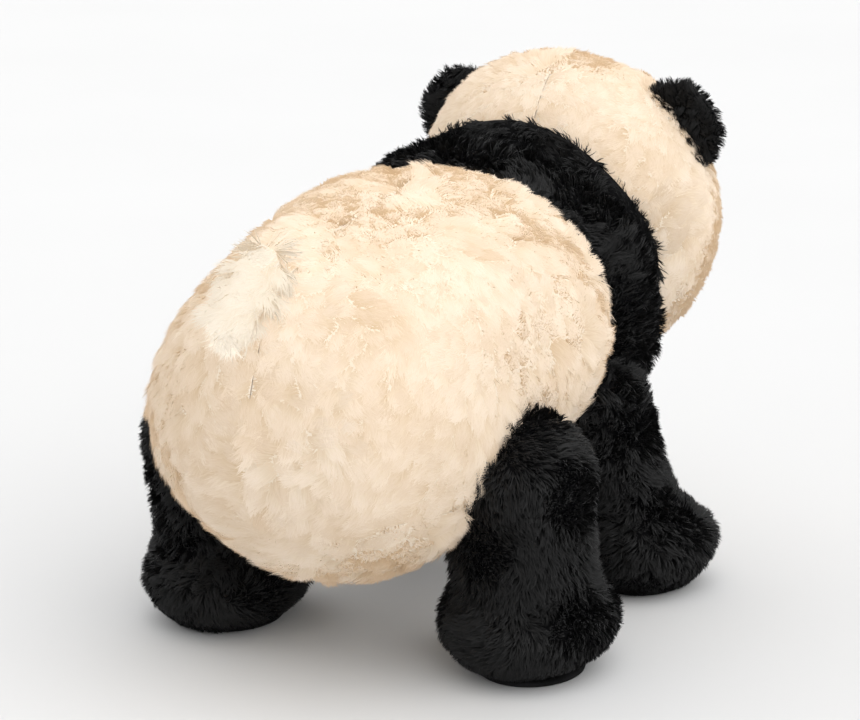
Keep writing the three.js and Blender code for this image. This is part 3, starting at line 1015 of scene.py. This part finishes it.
def add_mouth():
    """Two twisted plies along the mouth's line: down from the nose, then a curve to either side."""
    low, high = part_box("mouth_stitch")
    centre = MUZZLE_MIDDLE
    radii = MUZZLE_RADII + 0.3 * MM
    x = (low.x + high.x) / 2
    reach = (high.x - low.x) / 4
    joint = low.z + reach
    line = [(x, z) for z in np.linspace(high.z, joint, 8)]
    arcs = []
    for side in (1, -1):
        turn = np.linspace(math.pi, 2 * math.pi, 20)
        arcs.append([(x + side * (reach + reach * math.cos(a)), joint + reach * math.sin(a)) for a in turn])
    rings_all = []
    for path in (line, *arcs):
        path = np.array(path)
        inside = 1 - ((path[:, 0] - centre[0]) / radii[0]) ** 2 - ((path[:, 1] - centre[2]) / radii[2]) ** 2
        y = centre[1] - radii[1] * np.sqrt(np.maximum(inside, 0.01))
        rings_all.append(np.stack([path[:, 0], y, path[:, 1]], axis=1))
    points, faces = [], []
    for path in rings_all:
        length = np.concatenate([[0], np.cumsum(np.linalg.norm(np.diff(path, axis=0), axis=1))])
        steps = np.arange(0, length[-1], 0.35 * MM)
        spine = np.stack([np.interp(steps, length, path[:, k]) for k in range(3)], axis=1)
        run = unit(np.gradient(spine, axis=0))
        out = unit(spine - centre)
        side = unit(np.cross(run, out))
        for ply in (0.0, math.pi):
            phase = steps / (2.4 * MM) * 2 * math.pi + ply
            axis = spine + 0.42 * MM * (np.cos(phase)[:, None] * side + np.sin(phase)[:, None] * out)
            start = len(points)
            angle = np.linspace(0, 2 * math.pi, 8, endpoint=False)
            for k in range(len(axis)):
                for a in angle:
                    points.append(tuple(axis[k] + 0.5 * MM * (math.cos(a) * side[k] + math.sin(a) * out[k])))
            for k in range(len(axis) - 1):
                for j in range(8):
                    m = (j + 1) % 8
                    faces.append((start + k * 8 + j, start + k * 8 + m,
                                  start + (k + 1) * 8 + m, start + (k + 1) * 8 + j))
            faces.append(tuple(start + j for j in range(8)))
            faces.append(tuple(start + (len(axis) - 1) * 8 + j for j in range(8)))
    mesh = bpy.data.meshes.new("mouth_thread")
    mesh.from_pydata(points, [], faces)
    tidy_mesh(mesh)
    piece("mouth_thread", mesh, THREAD, "head", ["mouth_stitch"])


# ---- filling ----

FILL_DEPTH = CLOTH_THICK + 1.5 * MM  # from the skin to the filling


def inner_mesh(skin, name):
    """The filling's outer surface: the skin's own form, drawn in."""
    mesh = skin.copy()
    mesh.name = name
    mesh.materials.clear()
    move_points(mesh, lambda points, normals: points - normals * FILL_DEPTH)
    return mesh


def body_fill_mesh():
    """The body's filling, drawn in ahead of the band's seam, clear of the head and the collar."""
    mesh = body_mesh("body_fibre", CREAM_RISE + FILL_DEPTH + 2 * MM)
    low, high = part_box("shoulder_band")
    axis = np.array([(low.x + high.x) / 2, high.z - (high.x - low.x) / 2])

    def shift(points, _):
        out = points.copy()
        ahead = points[:, 1] < BAND_SEAM
        reach = BAND_SEAM - points[ahead, 1]
        out[ahead, 1] = BAND_SEAM - reach * 0.3
        drawn = (1 - 0.25 * np.clip(reach / (20 * MM), 0, 1))[:, None]
        out[ahead, ::2] = axis + (points[ahead, ::2] - axis) * drawn
        return out

    move_points(mesh, shift)
    return mesh


def fill(name, mesh, body_name, node, seed):
    stuffed(mesh, seed, 0.4 * MM, 14 * MM)
    piece(name, mesh, FIBRE, body_name, [node])


def add_filling():
    fill("body_fibre", body_fill_mesh(), "torso", "body_filling", 21)
    fill("head_fibre", inner_mesh(head, "head_fibre"), "head", "head_filling", 22)
    fill("muzzle_fibre", inner_mesh(muzzle, "muzzle_fibre"), "head", "muzzle_filling", 24)
    low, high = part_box("neck_filling")
    neck = ball_mesh("neck_fibre", np.array((low + high) / 2), np.array((high - low) / 2) - 1 * MM)
    fill("neck_fibre", neck, "neck", "neck_filling", 23)
    for i, leg in enumerate(LEGS):
        fill(f"{leg}_fibre", inner_mesh(legs[leg], f"{leg}_fibre"), leg, f"{leg}_filling", 25 + i)


# ---- studio ----

CAMERA_AZIMUTH, CAMERA_ELEVATION = 206.3, 15.0
CAMERA_DISTANCE = 1.448
CAMERA_LENS = 114.0
AIM_SHIFT = Vector((1.7, 12.2, -8.4)) * MM  # from the middle of the object


def direction(azimuth, elevation):
    a, e = math.radians(azimuth), math.radians(elevation)
    return Vector((math.sin(a) * math.cos(e), -math.cos(a) * math.cos(e), math.sin(e)))


def add_camera(middle):
    camera = bpy.data.objects.new("camera", bpy.data.cameras.new("camera"))
    bpy.context.scene.collection.objects.link(camera)
    way = direction(CAMERA_AZIMUTH, CAMERA_ELEVATION)
    camera.location = middle + AIM_SHIFT + way * CAMERA_DISTANCE
    camera.rotation_mode = "QUATERNION"
    camera.rotation_quaternion = (-way).to_track_quat("-Z", "Y")
    camera.data.lens = CAMERA_LENS
    camera.data.sensor_width = 36
    bpy.context.scene.camera = camera


def add_soft_light(name, azimuth, elevation, spread, strength):
    """A light so broad and far away that it falls evenly on the toy and on the floor."""
    light = bpy.data.objects.new(name, bpy.data.lights.new(name, "SUN"))
    bpy.context.scene.collection.objects.link(light)
    light.rotation_mode = "QUATERNION"
    light.rotation_quaternion = (-direction(azimuth, elevation)).to_track_quat("-Z", "Y")
    light.data.angle = math.radians(spread)
    light.data.energy = strength
    light.data.cycles.use_multiple_importance_sampling = False


def add_studio():
    middle = (CAD_BOX[0] + CAD_BOX[1]) / 2
    add_camera(middle)
    add_soft_light("key", 250, 45, 80, 1.5)
    add_soft_light("front", 60, 45, 80, 0.5)
    add_soft_light("sky", 0, 90, 150, 2.1)
    world = bpy.data.worlds.new("studio")
    bpy.context.scene.world = world
    world.use_nodes = True
    world.node_tree.nodes["Background"].inputs["Color"].default_value = (1, 1, 1, 1)
    world.node_tree.nodes["Background"].inputs["Strength"].default_value = 0.3
    bpy.context.scene.view_settings.view_transform = "Standard"

    nodes = Nodes("studio_floor")
    place = nodes.object_place()
    grain = nodes.noise(3.0, 2.0, place).outputs["Fac"]
    nodes.join(nodes.ramp(grain, [(0.3, (0.68, 0.68, 0.68)), (0.7, (0.69, 0.69, 0.69))]), "Base Color")
    nodes.set(Roughness=0.9, Specular_IOR_Level=0.1)
    mesh = bpy.data.meshes.new("studio_floor")
    half = 40.0
    mesh.from_pydata([(-half, -half, 0), (half, -half, 0), (half, half, 0), (-half, half, 0)], [],
                     [(0, 1, 2, 3)])
    mesh.materials.append(nodes.material)
    floor = bpy.data.objects.new("studio_floor", mesh)
    bpy.context.scene.collection.objects.link(floor)


SOLE_CLOTH = cloth_material("sole_plush", (0.006, 0.006, 0.006), (0.016, 0.016, 0.017), 0.8)
EYE_PLASTIC = plastic_material("eye_gloss", (0.004,) * 3, (0.009, 0.008, 0.008), 0.06, 30.0, 0.3)
NOSE_PLASTIC = plastic_material("nose_satin", (0.006,) * 3, (0.012,) * 3, 0.25, 60.0, 0.25)
WASHER_PLASTIC = plastic_material("washer_natural", (0.72, 0.72, 0.68), (0.82, 0.82, 0.78), 0.4, 40.0, 0.5)
THREAD = thread_material()

add_body()
add_head()
for index, leg_name in enumerate(LEGS):
    add_leg(leg_name, 300 + 10 * index)
    add_sole(leg_name)
add_ear("left", 600)
add_ear("right", 640)
add_tail()
add_muzzle()
add_nose()
add_mouth()
for index, eye_side in enumerate(("left", "right")):
    add_patch(eye_side, 700 + 10 * index)
    add_eye(eye_side)
    add_washer(eye_side)
add_filling()
add_studio()
